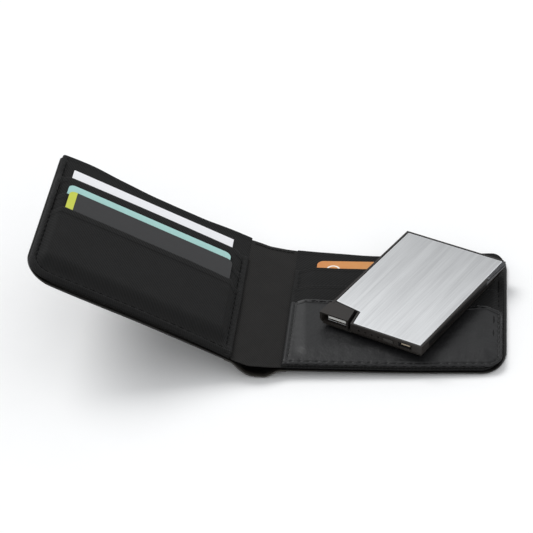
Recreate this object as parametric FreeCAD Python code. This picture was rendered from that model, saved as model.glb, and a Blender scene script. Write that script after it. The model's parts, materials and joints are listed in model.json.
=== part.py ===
import FreeCAD, Part
import math
import os

# A leather bifold wallet lying open, with a card-size power bank on its right half.
# Millimetres. +X right, +Y away from the near edge, +Z up.
# The origin is the middle of the footprint, at table level.
# Each half and the spine are drawn flat, with their lining's top face at z = 0, and then folded.

V = FreeCAD.Vector

# Wallet panels. A far edge is its height at the fold, at the middle and at the outer side.
panel_width = 103.0
spine_width = 23.4
spine_angle = 11.5
left_angle = 27.0
hinge_gap = 0.4
near_corner_radius = 9.0
right_tip_radius = 6.0
left_tip_radius = 2.0
right_far_edge = (98.5, 94.2, 98.8)
left_far_edge = (102.0, 98.2, 103.4)

# Layers, from the lining down to the table
inner_panel = 0.5
bill_gap = 1.0
lining = 0.4
leather = 1.0
bill_floor = -inner_panel - bill_gap
cover_top = bill_floor - lining
cover_bottom = cover_top - leather

# Spine gusset, a loop of the cover hanging below the spine lining
gusset_radius = 11.2
gusset_depth = 8.4

# Pockets, welts, hems and thread
pocket_cloth = 0.35
leather_front = 0.9
slip = 0.12
welt_width = 3.0
fold_welt_start = 1.5
fold_welt_width = 2.0
hem_width = 2.4
hem_height = 0.25
stitch_length = 2.7
stitch_pitch = 3.6
thread = 0.4
left_mouths = [(82.4, 85.2, 79.7), (67.8, 68.9, 64.2), (53.0, 54.9, 48.5)]
right_mouths = [(79.0, 81.4, 79.0), (64.0, 65.4, 64.0)]
leather_mouth = (50.8, 52.0, 47.2)

# Cards: distance from the fold, and height of the far edge
card_width = 85.6
card_depth = 53.98
card_thickness = 0.76
paper_thickness = 0.4
card_radius = 3.18
paper_radius = 0.3
white_card = (9.4, 93.3)
teal_card = (9.7, 77.9)
dark_card = (8.7, 70.9)
orange_card = (10.6, 88.5)
band_width = 3.8
band_depth = 0.26

# Power bank, drawn in its own frame: a across, b along, c up from its underside
bank_corner = (16.0, 30.5)
bank_turn = -27.7
bank_rest = 3.4
bank_a = 54.7
bank_b = 82.1
bank_c = 6.5
bank_wall = 1.3
bank_floor = 1.0
tray_height = 5.0
edge_round = 3.0
plate_margin = 1.3
plate_near = 1.2
plate_far = 1.1
plate_thickness = 0.7
plate_gap = 0.25
plate_notch = (17.9, 13.25)
notch_slant = (0.19, 0.155)
bay_inset = (1.2, 0.6)
hood_inset = (3.1, 0.9)
bezel_ledge = 3.0
button_low = (34.7, 3.4)
button_high = (39.6, 4.8)
button_proud = 0.5
button_gap = 0.25
port_low = (42.3, 2.95)
port_high = (49.4, 5.15)
socket_wall = 0.12
led_start = 21.3
led_pitch = 3.45
led_count = 4
led_height = 4.0
led_radius = 0.5
led_depth = 0.6
board_bottom = 1.7
board_top = 2.5
running_gap = 0.15

# Plugs of the power bank
hood_left = -0.8
hood_near = 1.3
hood_bottom = 5.8
hood_side_far = 10.4
hood_wall = 1.2
hood_floor = 0.8
hood_round = 2.4
supply_shell_low = (3.3, 2.0, 2.8)
supply_shell_high = (13.6, 6.2, 5.7)
plug_tongue = 1.5
strap_far = 27.2
lead_pivot = (bank_a - 1.4, 8.2)
ribbon_half = 0.7
grip_near = bank_b - 17.8
grip_far = bank_b - 0.5
grip_depth = 4.0
pad_inside = bank_a - 0.95
pad_outside = bank_a + 0.15
pad_lip = 0.35
pad_top = 6.4
rib_pitch = 0.9
rib_groove = 0.4
lead_shell_low = (44.2, 73.0, 2.7)
lead_shell_high = (bank_a - grip_depth, 79.9, 4.7)


def box(low, high):
    return Part.makeBox(high[0] - low[0], high[1] - low[1], high[2] - low[2], V(*low))


def prism(wire, bottom, top):
    face = Part.Face(wire)
    face.translate(V(0, 0, bottom))
    return face.extrude(V(0, 0, top - bottom))


def line(start, end):
    return Part.LineSegment(V(*start, 0), V(*end, 0)).toShape()


def arc(start, middle, end):
    return Part.Arc(V(*start, 0), V(*middle, 0), V(*end, 0)).toShape()


def corner(centre, radius, start_angle):
    """A quarter arc about centre, turning anticlockwise from start_angle."""
    points = []
    for angle in (start_angle, start_angle + 45, start_angle + 90):
        turn = math.radians(angle)
        points.append((centre[0] + radius * math.cos(turn), centre[1] + radius * math.sin(turn)))
    return arc(*points)


def panel_outline(low_u, high_u, low_v, far_edge, near_radius, far_radius=0.0):
    """A panel's outline: square at the fold, rounded outside, with a bowed far edge."""
    at_fold, at_middle, at_outer = far_edge
    edges = [line((low_u, low_v), (high_u - near_radius, low_v))]
    edges.append(corner((high_u - near_radius, low_v + near_radius), near_radius, -90))
    edges.append(line((high_u, low_v + near_radius), (high_u, at_outer - far_radius)))
    if far_radius:
        edges.append(corner((high_u - far_radius, at_outer - far_radius), far_radius, 0))
    bow = ((high_u - far_radius, at_outer), ((low_u + high_u) / 2, at_middle), (low_u, at_fold))
    edges.append(arc(*bow))
    edges.append(line((low_u, at_fold), (low_u, low_v)))
    return Part.Wire(edges)


def rounded_plate(low, high, radius, bottom, top):
    plate = box((*low, bottom), (*high, top))
    uprights = [edge for edge in plate.Edges if abs(edge.tangentAt(edge.FirstParameter).z) > 0.9]
    return plate.makeFillet(radius, uprights)


def seam(start, end, surface):
    """One straight seam: short lengths of thread lying on a surface."""
    run = V(*end, surface) - V(*start, surface)
    count = int(run.Length / stitch_pitch)
    along = V(run).normalize()
    across = V(-along.y, along.x, 0) * (thread / 2)
    stitches = []
    for index in range(count):
        middle = V(*start, surface) + along * (stitch_pitch * (index + 0.5))
        half = along * (stitch_length / 2)
        corners = [middle - half - across, middle + half - across, middle + half + across]
        corners += [middle - half + across, middle - half - across]
        stitches.append(Part.Face(Part.makePolygon(corners)).extrude(V(0, 0, thread / 2)))
    return stitches


# The wallet's halves, both drawn to the right of their fold


def cover(far_edge, tip_radius):
    outline = panel_outline(hinge_gap, panel_width, 0, far_edge, near_corner_radius, tip_radius)
    return prism(outline, cover_bottom, cover_top)


def bill_lining(far_edge, tip_radius):
    outline = panel_outline(hinge_gap, panel_width, 0, far_edge, near_corner_radius, tip_radius)
    return prism(outline, cover_top, bill_floor)


def base_panel(far_edge):
    """The cloth panel that carries the pockets, inside the near and outer welts."""
    radius = near_corner_radius - welt_width
    outline = panel_outline(hinge_gap, panel_width - welt_width, welt_width, far_edge, radius)
    return prism(outline, -inner_panel, 0)


def near_welt(top):
    """Turned-in cloth along the near edge, which closes the bill compartment."""
    return box((fold_welt_start, 0, bill_floor), (panel_width - near_corner_radius, welt_width, top))


def outer_welt(far_edge, tip_radius, top):
    """Turned-in cloth round the near corner and up the outer edge."""
    outline = panel_outline(hinge_gap, panel_width, 0, far_edge, near_corner_radius, tip_radius)
    clear = 50.0
    beyond = [height + clear for height in far_edge]
    radius = near_corner_radius - welt_width
    inside = panel_outline(-clear, panel_width - welt_width, welt_width, beyond, radius)
    start = box((panel_width - near_corner_radius, 0, bill_floor), (panel_width, far_edge[2], top))
    return prism(outline, bill_floor, top).cut(prism(inside, bill_floor, top)).common(start)


def fold_welt(high_v, top):
    """The seam allowance of the pockets beside the fold."""
    return box((fold_welt_start, welt_width, 0), (fold_welt_start + fold_welt_width, high_v, top))


def pocket_outline(mouth):
    low_u = fold_welt_start + fold_welt_width
    radius = near_corner_radius - welt_width
    return panel_outline(low_u, panel_width - welt_width, welt_width, mouth, radius)


def pocket_front(mouth, bottom, thickness):
    return prism(pocket_outline(mouth), bottom, bottom + thickness)


def card(place, bottom, thickness, radius):
    low = (place[0], place[1] - card_depth)
    high = (place[0] + card_width, place[1])
    return rounded_plate(low, high, radius, bottom, bottom + thickness)


def edge_seams(far_edge, fold_seam_end, top):
    """The line of thread round a half: near edge, outer edge and beside the fold."""
    middle = welt_width / 2
    outer_u = panel_width - middle
    fold_u = fold_welt_start + fold_welt_width / 2
    stitches = seam((fold_u, middle), (panel_width - near_corner_radius, middle), top)
    stitches += seam((outer_u, near_corner_radius), (outer_u, far_edge[2] - near_corner_radius), top)
    stitches += seam((fold_u, 2 * welt_width), (fold_u, fold_seam_end), top)
    return Part.makeCompound(stitches)


def left_half():
    """Three card slots, each front lying over its card and the front before it."""
    step = slip + card_thickness + slip + pocket_cloth
    fronts = [step * count - pocket_cloth for count in (1, 2, 3)]
    top = fronts[-1] + pocket_cloth
    dark_bottom = 2 * step + slip
    dark = card(dark_card, dark_bottom, card_thickness, card_radius)
    band_start = dark_card[0] + card_width - band_width
    band_bottom = dark_bottom + card_thickness - band_depth
    band = box((band_start, 0, band_bottom), (panel_width, panel_width, dark_bottom + card_thickness))
    pieces = {
        "outer_cover_left": cover(left_far_edge, left_tip_radius),
        "bill_lining_left": bill_lining(left_far_edge, left_tip_radius),
        "inner_panel_left": base_panel(left_far_edge),
        "near_welt_left": near_welt(top),
        "outer_welt_left": outer_welt(left_far_edge, left_tip_radius, top),
        "fold_welt_left": fold_welt(left_mouths[0][0], top),
        "edge_stitching_left": edge_seams(left_far_edge, left_mouths[0][0], top),
        "white_card": card(white_card, slip, paper_thickness, paper_radius),
        "teal_card": card(teal_card, step + slip, card_thickness, card_radius),
        "dark_card": dark.cut(band),
        "dark_card_band": dark.common(band),
    }
    for number, mouth in enumerate(left_mouths):
        pieces[f"left_card_pocket_{number + 1}"] = pocket_front(mouth, fronts[number], pocket_cloth)
    return {name: shape.mirror(V(0, 0, 0), V(1, 0, 0)) for name, shape in pieces.items()}


def leather_hem(bottom):
    """The turned hem along the mouth of the leather pocket."""
    lower = [height - hem_width for height in leather_mouth]
    whole = prism(pocket_outline(leather_mouth), bottom, bottom + hem_height)
    return whole.cut(prism(pocket_outline(lower), bottom, bottom + hem_height))


def hem_seam(surface):
    """Thread along the leather pocket's mouth, following its crown in short runs."""
    centre_line = pocket_outline([height - hem_width / 2 for height in leather_mouth])
    crown = max(centre_line.Edges, key=lambda edge: edge.CenterOfMass.y)
    points = crown.discretize(9)
    stitches = []
    for start, end in zip(points[:-1], points[1:]):
        stitches += seam((start.x, start.y), (end.x, end.y), surface)
    return Part.makeCompound(stitches)


def right_half():
    """One card slot, an empty slot, and a leather pocket for the power bank."""
    first = slip + card_thickness + slip
    second = first + pocket_cloth + slip
    third = second + pocket_cloth + slip
    top = third + leather_front
    return {
        "outer_cover_right": cover(right_far_edge, right_tip_radius),
        "bill_lining_right": bill_lining(right_far_edge, right_tip_radius),
        "inner_panel_right": base_panel(right_far_edge),
        "near_welt_right": near_welt(top),
        "outer_welt_right": outer_welt(right_far_edge, right_tip_radius, top),
        "fold_welt_right": fold_welt(right_mouths[0][0], top),
        "edge_stitching_right": edge_seams(right_far_edge, leather_mouth[0], top),
        "right_card_pocket_1": pocket_front(right_mouths[0], first, pocket_cloth),
        "right_card_pocket_2": pocket_front(right_mouths[1], second, pocket_cloth),
        "leather_pocket": pocket_front(leather_mouth, third, leather_front),
        "leather_pocket_hem": leather_hem(top),
        "hem_stitching": hem_seam(top + hem_height),
        "orange_card": card(orange_card, slip, card_thickness, card_radius),
    }


def spine():
    """The spine lining over the hanging loop of the cover."""
    low_x = hinge_gap - spine_width
    high_x = -hinge_gap
    far_v = right_far_edge[0]
    axis = V(-spine_width / 2, 0, gusset_radius - gusset_depth)
    outside = Part.makeCylinder(gusset_radius, far_v, axis, V(0, 1, 0))
    inside = Part.makeCylinder(gusset_radius - leather, far_v, axis, V(0, 1, 0))
    flange = box((low_x, 0, cover_bottom), (high_x, far_v, cover_top))
    below = box((low_x, 0, -gusset_depth), (high_x, far_v, cover_top))
    loop = outside.fuse(flange).cut(inside).common(below)
    cloth = box((low_x, 0, -inner_panel), (high_x, far_v, 0))
    seam_v = far_v - welt_width
    thread_group = Part.makeCompound(seam((low_x, seam_v), (high_x, seam_v), -thread / 2))
    return {
        "outer_cover_spine": loop.removeSplitter(),
        "spine_lining": cloth.cut(thread_group),
        "spine_stitching": thread_group,
    }


# The power bank


def near_left_corner(inset, low=(-1, -1)):
    """The slanted notch outline in the near-left corner, inset on its right and far sides."""
    slant_a, slant_b = notch_slant
    right = plate_notch[0] - inset[0]
    far = plate_notch[1] - inset[1]
    corner_a = (right - slant_a * far) / (1 - slant_a * slant_b)
    corner_b = far - slant_b * corner_a
    points = [V(*low, 0), V(right - slant_a * low[1], low[1], 0), V(corner_a, corner_b, 0)]
    points += [V(low[0], far - slant_b * low[0], 0), V(*low, 0)]
    return Part.makePolygon(points)


def bay():
    """The bay in which the supply plug is parked, open at the near and left sides."""
    open_side = box((-1, -1, bank_floor), (bank_wall, hood_side_far + running_gap, bank_c + 1))
    return prism(near_left_corner(bay_inset, (bank_wall, -1)), bank_floor, bank_c + 1).fuse(open_side)


def strap_slot():
    return box((1.6, plate_notch[1] - 2, 2.3), (3.4, plate_notch[1] + bank_wall + 1, 4.9))


def channel():
    """The groove in the right side for the charging lead, with rooms for its grip and plug."""
    groove = box((lead_pivot[0] - 1.0, 7.0, 1.7), (bank_a + 1, bank_b + 1, 5.5))
    grip_room = box((bank_a - grip_depth - 0.4, grip_near - 0.6, 1.9), (bank_a + 1, bank_b + 1, 5.6))
    pad_room = box((pad_inside - 0.25, grip_near - 0.4, 1.9), (bank_a + 1, bank_b + 1, bank_c + 1))
    plug_low = (lead_shell_low[0] - 0.7, lead_shell_low[1] - 0.5, lead_shell_low[2] - 0.4)
    plug_high = (bank_a, lead_shell_high[1] + 0.8, tray_height)
    return groove.fuse(grip_room).fuse(pad_room).fuse(box(plug_low, plug_high))


def port_room():
    """The opening for the charging socket and the room behind it."""
    return box((port_low[0], -1, port_low[1]), (port_high[0], 5.6, port_high[1]))


def led_places():
    return [led_start + led_pitch * index for index in range(led_count)]


def tray():
    """The lower shell: rounded underneath, a room for the cell and board, bay and channel."""
    block = box((0, 0, 0), (bank_a, bank_b, bank_c))
    lower_edges = [edge for edge in block.Edges if edge.BoundBox.ZMax < 0.1]
    lower = block.makeFillet(edge_round, lower_edges)
    lower = lower.common(box((0, 0, 0), (bank_a, bank_b, tray_height)))
    room = box((bank_wall, bank_wall, bank_floor), (bank_a - bank_wall, bank_b - bank_wall, bank_c))
    bay_walls = box((0, 0, 0), (plate_notch[0], plate_notch[1] + bank_wall, bank_c))
    channel_walls = box((bank_a - 5.6, 5.8, 0), (bank_a, bank_b, bank_c))
    plug_walls = box((lead_shell_low[0] - 1.5, lead_shell_low[1] - 1.3, 0), (bank_a, bank_b, bank_c))
    room = room.cut(bay_walls).cut(channel_walls).cut(plug_walls)
    shell = lower.cut(room).cut(bay()).cut(strap_slot()).cut(channel())
    window_high = (button_high[0] + button_gap, 3, button_high[1] + button_gap)
    window = ((button_low[0] - button_gap, -1, button_low[1] - button_gap), window_high)
    shell = shell.cut(box(*window))
    shell = shell.cut(port_room())
    for place in led_places():
        shell = shell.cut(Part.makeCylinder(led_radius, 3, V(place, -1, led_height), V(0, 1, 0)))
    return shell


def top_plate(gap=0.0):
    """The brushed plate, notched round the supply plug's bay, or its seat with a gap round it."""
    low = (plate_margin - gap, plate_near - gap, bank_c - plate_thickness)
    high = (bank_a - plate_margin + gap, bank_b - plate_far + gap, bank_c)
    notch = prism(near_left_corner((gap, gap)), 0, bank_c + 1)
    return box(low, high).cut(notch)


def bezel():
    """The frame round the top plate, with a ledge that the plate lies on."""
    frame = box((0, 0, tray_height), (bank_a, bank_b, bank_c))
    far = (bank_a - bezel_ledge, bank_b - bezel_ledge, bank_c + 1)
    window = box((bezel_ledge, bezel_ledge, 0), far)
    beside_bay = (plate_notch[0] + bezel_ledge, plate_notch[1] + bezel_ledge, bank_c + 1)
    window = window.cut(box((0, 0, 0), beside_bay))
    return frame.cut(window).cut(top_plate(plate_gap)).cut(bay()).cut(channel()).cut(port_room())


def charging_socket():
    front = box((port_low[0], 0.4, port_low[1]), (port_high[0], bank_wall, port_high[1]))
    outside = box((port_low[0], bank_wall, board_top), (port_high[0], 5.6, port_high[1])).fuse(front)
    mouth_low = (port_low[0] + socket_wall, 0, port_low[1] + socket_wall)
    mouth = box(mouth_low, (port_high[0] - socket_wall, 5.2, port_high[1] - socket_wall))
    return outside.cut(mouth)


def power_bank():
    socket_tongue = ((port_low[0] + 1.2, 0.9, 3.8), (port_high[0] - 1.2, 5.2, 4.5))
    pieces = {
        "bank_tray": tray(),
        "bank_bezel": bezel(),
        "bank_top_plate": top_plate(),
        "battery_cell": rounded_plate((3.8, 21.0), (47.6, 71.0), 1.5, bank_floor + 0.3, 4.9),
        "battery_tape": box((8.0, 26.0, bank_floor), (42.0, 66.0, bank_floor + 0.3)),
        "circuit_board": box((18.9, 1.6, board_bottom), (48.5, 19.0, board_top)),
        "charging_socket": charging_socket(),
        "charging_socket_tongue": box(*socket_tongue),
        "tactile_switch": box((35.4, 3.0, board_top), (38.9, 6.0, 4.4)),
    }
    posts = []
    for place in (21.0, 46.0):
        height = board_bottom - bank_floor
        posts.append(Part.makeCylinder(1.2, height, V(place, 12.0, bank_floor)))
    pieces["board_posts"] = Part.makeCompound(posts)
    chips = [box((22.0, 9.0, board_top), (27.0, 14.0, board_top + 0.9))]
    chips.append(box((30.0, 10.0, board_top), (33.0, 13.0, board_top + 1.0)))
    chips.append(box((35.5, 9.5, board_top), (41.5, 15.5, board_top + 2.2)))
    pieces["board_chips"] = Part.makeCompound(chips)
    pipes = []
    leds = []
    for place in led_places():
        start = V(place, led_depth, led_height)
        pipes.append(Part.makeCylinder(led_radius, bank_wall - led_depth, start, V(0, 1, 0)))
        leds.append(box((place - 0.5, 1.7, board_top), (place + 0.5, 2.5, board_top + 1.6)))
    pieces["led_light_pipes"] = Part.makeCompound(pipes)
    pieces["charge_leds"] = Part.makeCompound(leds)
    return pieces


def power_button():
    cap = box((button_low[0], -button_proud, button_low[1]), (button_high[0], 1.2, button_high[1]))
    stem = box((36.4, 1.2, 3.5), (37.9, 2.4, 4.5))
    return {"power_button": cap.fuse(stem)}


def supply_plug():
    """The flat plug parked in the bay: hood, metal shell, tongue, contacts and ribbon strap."""
    wall = 0.3
    low = supply_shell_low
    high = supply_shell_high
    outline = near_left_corner(hood_inset, (hood_left, hood_near))
    foot = bank_floor + running_gap
    block = box((hood_left, 0, foot), (plate_notch[0], plate_notch[1], bank_c))
    lower_left = [edge for edge in block.Edges if edge.BoundBox.XMax < 0 and edge.BoundBox.ZMax < bank_wall]
    body = prism(outline, foot, bank_c).common(block.makeFillet(hood_round, lower_left))
    body = body.cut(box((hood_left + hood_wall, 0, foot + hood_floor), (high[0], high[1], hood_bottom)))
    body = body.cut(box((-1, hood_side_far, 0), (bank_wall + running_gap, plate_notch[1], bank_c)))
    strap = box((1.9, high[1], 2.6), (3.1, strap_far, 4.6))
    hollow = box((low[0] + wall, 0, low[2] + wall), (high[0] - wall, high[1] - wall, high[2] - wall))
    tongue_low = (low[0] + wall, low[1] + 0.1, high[2] - wall - plug_tongue)
    contacts = []
    for index in range(4):
        start = low[0] + 1.3 + 2.1 * index
        contacts.append(box((start, 2.6, tongue_low[2] - 0.1), (start + 1.1, high[1] - 0.4, tongue_low[2])))
    return {
        "supply_plug_hood": body,
        "supply_plug_shell": box(low, high).cut(hollow),
        "supply_plug_tongue": box(tongue_low, (high[0] - wall, high[1] - wall, high[2] - wall)),
        "supply_plug_contacts": Part.makeCompound(contacts),
        "supply_plug_strap": strap.cut(prism(outline, 0, bank_c)),
    }


def side_wedge(inside, outside, corners):
    """A block across the right side from corners given along b and c."""
    wire = Part.makePolygon([V(inside, *point) for point in corners + corners[:1]])
    return Part.Face(wire).extrude(V(outside - inside, 0, 0))


def lead_grip():
    """The grip: a core in the channel, and a ribbed wedge outside it with a lip along its foot."""
    core = box((bank_a - grip_depth, grip_near, 2.4), (pad_inside, grip_far, 5.4))
    foot = [(grip_near, 5.4), (grip_far, 4.3), (grip_far, 4.9), (grip_near, 5.7)]
    pad = [(grip_near, 5.4), (grip_far, 4.3), (grip_far, pad_top), (grip_near, pad_top)]
    wedge = side_wedge(pad_inside, pad_outside, pad)
    place = grip_near + 2 * rib_pitch
    while place < grip_far - rib_pitch:
        wedge = wedge.cut(box((pad_outside - 0.3, place, 0), (bank_a + 1, place + rib_groove, bank_c)))
        wedge = wedge.cut(box((0, place, pad_top - 0.3), (bank_a + 1, place + rib_groove, bank_c)))
        place += rib_pitch
    return core.fuse(wedge).fuse(side_wedge(pad_inside, pad_outside + pad_lip, foot))


def charging_lead():
    """The short ribbon lead in the side channel, with its right-angle plug at the far end."""
    low_c = 2.7
    high_c = 4.8
    wall = 0.3
    low = lead_shell_low
    high = lead_shell_high
    root = Part.makeCylinder(ribbon_half, high_c - low_c, V(*lead_pivot, low_c))
    ribbon_low = (lead_pivot[0] - ribbon_half, lead_pivot[1], low_c)
    ribbon = box(ribbon_low, (lead_pivot[0] + ribbon_half, grip_near, high_c))
    mouth = box((low[0] - 1, low[1] + wall, low[2] + wall), (high[0], high[1] - wall, high[2] - wall))
    tongue = ((low[0] + 1.0, low[1] + 1.2, 3.4), (high[0], high[1] - 1.2, 4.0))
    return {
        "charging_lead_ribbon": root.fuse(ribbon).removeSplitter(),
        "charging_plug_grip": lead_grip(),
        "charging_plug_shell": box(low, high).cut(mouth),
        "charging_plug_tongue": box(*tongue),
    }


# Folding and placing


def table_tilt():
    """The right half's slope, with its outer edge and the gusset both on the table."""
    turn = math.radians(spine_angle)
    axis_u = -spine_width / 2
    axis_z = gusset_radius - gusset_depth
    across = panel_width - (axis_u * math.cos(turn) + axis_z * math.sin(turn))
    rise = axis_z * math.cos(turn) - axis_u * math.sin(turn) - cover_bottom
    slope = math.asin(gusset_radius / math.hypot(across, rise)) - math.atan2(rise, across)
    return math.degrees(slope)


def fold(angle, shift=V(0, 0, 0)):
    return FreeCAD.Placement(shift, FreeCAD.Rotation(V(0, 1, 0), angle))


def in_wallet(placement, pieces):
    for shape in pieces.values():
        shape.Placement = placement.multiply(shape.Placement)
    return pieces


def main():
    tilt = table_tilt()
    right_place = fold(tilt)
    spine_place = fold(tilt + spine_angle)
    left_fold = spine_place.multVec(V(-spine_width, 0, 0))
    left_place = fold(tilt + left_angle, left_fold)
    bank_turned = FreeCAD.Rotation(V(0, 0, 1), bank_turn)
    bank_place = right_place.multiply(FreeCAD.Placement(V(*bank_corner, bank_rest), bank_turned))

    pieces = in_wallet(right_place, right_half())
    pieces.update(in_wallet(spine_place, spine()))
    pieces.update(in_wallet(left_place, left_half()))
    for group in (power_bank(), power_button(), supply_plug(), charging_lead()):
        pieces.update(in_wallet(bank_place, group))

    extent = Part.makeCompound(list(pieces.values())).optimalBoundingBox()
    to_origin = V(-extent.Center.x, -extent.Center.y, -extent.ZMin)
    os.makedirs("parts", exist_ok=True)
    for name, shape in pieces.items():
        shape.translate(to_origin)
        shape.exportStep(f"parts/{name}.step")

    print("tilt", tilt, "size", extent.XLength, extent.YLength, extent.ZLength)
    print("spine fold", to_origin)
    print("left fold", left_fold + to_origin)
    print("underside of right half", right_place.multVec(V(panel_width / 2, 50, cover_bottom)) + to_origin)
    print("bank along", bank_place.Rotation.multVec(V(0, 1, 0)))
    print("up from right half", right_place.Rotation.multVec(V(0, 0, 1)))
    print("lead pivot", bank_place.multVec(V(*lead_pivot, bank_c / 2)) + to_origin)


main()
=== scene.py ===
import json
import math

import bpy
import numpy as np
from mathutils import Matrix, Vector


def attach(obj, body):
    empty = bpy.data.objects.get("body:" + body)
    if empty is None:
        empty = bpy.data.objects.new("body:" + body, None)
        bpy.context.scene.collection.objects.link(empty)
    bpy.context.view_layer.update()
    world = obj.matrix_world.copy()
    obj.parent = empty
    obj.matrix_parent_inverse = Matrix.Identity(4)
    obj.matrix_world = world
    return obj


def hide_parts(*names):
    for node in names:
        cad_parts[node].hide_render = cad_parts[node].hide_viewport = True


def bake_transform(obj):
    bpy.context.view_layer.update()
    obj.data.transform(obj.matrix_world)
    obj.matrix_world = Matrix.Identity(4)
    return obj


# An open bifold wallet with a power bank on its right half. The three panels, right half, spine and
# left half, each have a Place: u runs from the fold, v from the near edge and w up from the lining,
# all in millimetres. Soft pieces are closed meshes made there; the hard pieces are the CAD nodes.

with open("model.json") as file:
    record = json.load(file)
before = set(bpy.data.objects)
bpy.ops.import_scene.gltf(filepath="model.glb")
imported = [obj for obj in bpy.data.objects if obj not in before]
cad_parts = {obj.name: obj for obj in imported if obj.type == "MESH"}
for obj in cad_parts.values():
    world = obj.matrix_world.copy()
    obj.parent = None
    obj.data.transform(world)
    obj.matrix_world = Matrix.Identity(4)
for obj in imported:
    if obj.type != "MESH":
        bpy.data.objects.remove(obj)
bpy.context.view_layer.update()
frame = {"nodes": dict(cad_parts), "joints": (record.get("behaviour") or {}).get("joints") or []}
nodes = frame["nodes"]
joints = {joint["name"]: joint for joint in frame["joints"]}

MM = 0.001

# Mouths of the card pockets and of the leather pocket: v along u
MOUTHS = {
    "left": [
        [(0, 82.4), (4, 83.6), (9.5, 85.0), (50, 85.4), (95.5, 84.9), (100, 82.4), (103.5, 79.5)],
        [(0, 68.0), (4.6, 67.6), (9, 68.5), (50, 68.9), (95, 68.5), (99.5, 66.6), (103.5, 64.0)],
        [(0, 53.6), (3.5, 53.0), (9.5, 54.6), (50, 55.0), (93.6, 54.8), (100.4, 51.5), (103.8, 48.5)],
    ],
    "right": [
        [(0, 79.3), (4, 80.8), (10, 81.6), (34, 80.9), (90, 81.5), (97, 80.6), (103, 78.6)],
        [(0, 64.0), (6, 65.1), (21, 65.4), (60, 65.2), (96, 65.0), (103, 63.6)],
    ],
}
LEATHER_MOUTH = [(0, 51.5), (10, 51.9), (17, 51.4), (50, 49.8), (85, 48.6), (91, 49.6), (103, 46.2)]

# Far edges
FAR = {
    "right": [(0, 98.9), (21, 96.3), (40.5, 94.7), (70, 96.6), (92.5, 99.0), (103, 99.4)],
    "left": [(0, 102.2), (7, 102.1), (28, 100.4), (50, 100.5), (70, 102.1), (88, 104.1), (103, 103.2)],
}
SPINE_FAR = [(0, 98.4), (6.5, 97.9), (13, 98.0), (18.3, 99.4), (23.4, 100.6)]
SPINE_NEAR = [(0, 1.1), (7.3, -0.4), (14.2, -1.5), (20, -0.6), (23.4, 0.6)]

# Near edges of the inner units, which carry the pockets, and of the covers under them
NEAR = {
    "right": [(0, 1.0), (9, 1.0), (55, 1.2), (87, 2.4), (103, 2.8)],
    "left": [(0, 1.3), (20, 2.5), (40, 3.0), (70, 2.4), (92, 1.9), (103, 1.9)],
}
COVER_NEAR = {
    "right": [(0, 1.5), (55, 1.9), (87, 3.0), (103, 3.4)],
    "left": [(0, 1.5), (40, 1.6), (84, 0.6), (103, 0.6)],
}

# Layer heights at the seams and over the cards, by pocket
SEAM_TOPS = {"left": (0.46, 0.82, 1.18), "right": (0.46, 0.82)}
STACK_TOPS = {"left": (1.35, 2.7, 4.05), "right": (1.35, 1.82)}
CLOTH = 0.35
LEATHER_TOP = 2.84
BILL_TOP = -1.5
BILL_CLOTH = 0.4
COVER_TOP = -1.9
COVER = 1.0

# Seams
SEAM_INSET = 2.8
STITCH_PITCH = 4.0
LEATHER_SEAM = 1.7
FOLD_SEAM = {"right": 2.8, "left": 3.5}
THREAD_RADIUS = 0.2
THREAD_SINK = 0.2
THREAD_ARCH = 0.38
HEM_THREAD_INSET = 1.75

# Spine. GUSSET_LOOP is u and w along the gusset's loop of leather.
SPINE_WIDTH = 23.4
SPINE_MIDDLE = SPINE_WIDTH / 2
BEND_REACH = 9.0
GUSSET_LOOP = [
    (1.6, -3.1),
    (4.6, -5.5),
    (8.2, -7.0),
    (11.7, -7.35),
    (15.2, -7.0),
    (18.8, -5.5),
    (21.8, -3.1),
]


# Numbers that vary smoothly


def smooth_line(points):
    """A smooth curve through points that never overshoots them, by its first coordinate."""
    x, y = np.array(points, float).T
    secant = np.diff(y) / np.diff(x)
    before, after = secant[:-1], secant[1:]
    same_way = before * after > 0
    total = np.where(same_way, before + after, 1)
    inner = np.where(same_way, 2 * before * after / total, 0)
    slope = np.concatenate([secant[:1], inner, secant[-1:]])

    def value(at):
        at = np.clip(at, x[0], x[-1])
        index = np.clip(np.searchsorted(x, at, side="right") - 1, 0, len(x) - 2)
        width = x[index + 1] - x[index]
        t = (at - x[index]) / width
        rest = 1 - t
        ends = y[index] * rest * rest * (1 + 2 * t) + y[index + 1] * t * t * (1 + 2 * rest)
        return ends + width * t * rest * (slope[index] * rest - slope[index + 1] * t)

    return value


def rise(value, low, high):
    """A smooth step from 0 at low to 1 at high."""
    t = np.clip((value - low) / (high - low), 0, 1)
    return t * t * (3 - 2 * t)


def hump(value, middle, width):
    """A smooth bump of height 1."""
    return np.exp(-(((value - middle) / width) ** 2))


def ripple(u, v, size, seed):
    """Soft uneven waves between about -1 and 1."""
    random = np.random.default_rng(seed)
    total = 0.0
    for _ in range(6):
        angle, phase = random.uniform(0, 2 * math.pi, 2)
        turns = 2 * math.pi / (size * random.uniform(0.7, 1.6))
        total = total + np.sin((u * math.cos(angle) + v * math.sin(angle)) * turns + phase)
    return total / 4


def seed_of(side, layer):
    """A layer's own random seed on one half."""
    return layer + (1 if side == "left" else 2)


def moved(line, distance):
    """An outline's points, all moved in v."""
    return [(u, v + distance) for u, v in line]


def level_surface(height):
    """A flat surface at a height, for stitches to lie on."""

    def surface(u, v):
        return np.full(np.shape(u), height)

    return surface


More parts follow.
